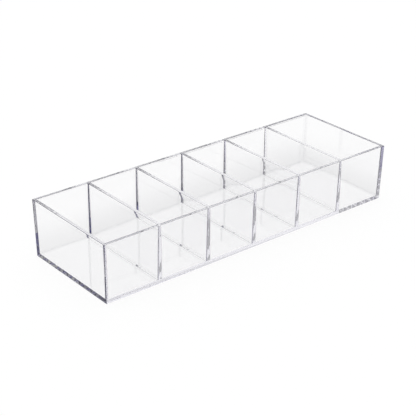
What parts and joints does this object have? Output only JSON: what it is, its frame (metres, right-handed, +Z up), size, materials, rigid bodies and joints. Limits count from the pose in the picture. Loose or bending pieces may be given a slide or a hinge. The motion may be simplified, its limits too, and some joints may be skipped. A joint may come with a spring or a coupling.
{
  "type": "makeup organizer tray",
  "caption": "Open rectangular tray of clear acrylic, divided crosswise into a row of six compartments by full-height dividers flush with the rim.",
  "frame": {"origin": "middle of the underside, on the surface that the tray rests on", "axes": "+X along the row of compartments, -Y the long front side, +Z up"},
  "size_m": [0.305, 0.102, 0.052],
  "materials": {
    "clear_acrylic": "polished"
  },
  "bodies": {
    "root": {"base_panel": "clear_acrylic", "front_wall": "clear_acrylic", "back_wall": "clear_acrylic", "left_end_wall": "clear_acrylic", "right_end_wall": "clear_acrylic", "divider_1": "clear_acrylic", "divider_2": "clear_acrylic", "divider_3": "clear_acrylic", "divider_4": "clear_acrylic", "divider_5": "clear_acrylic"}
  },
  "joints": []
}
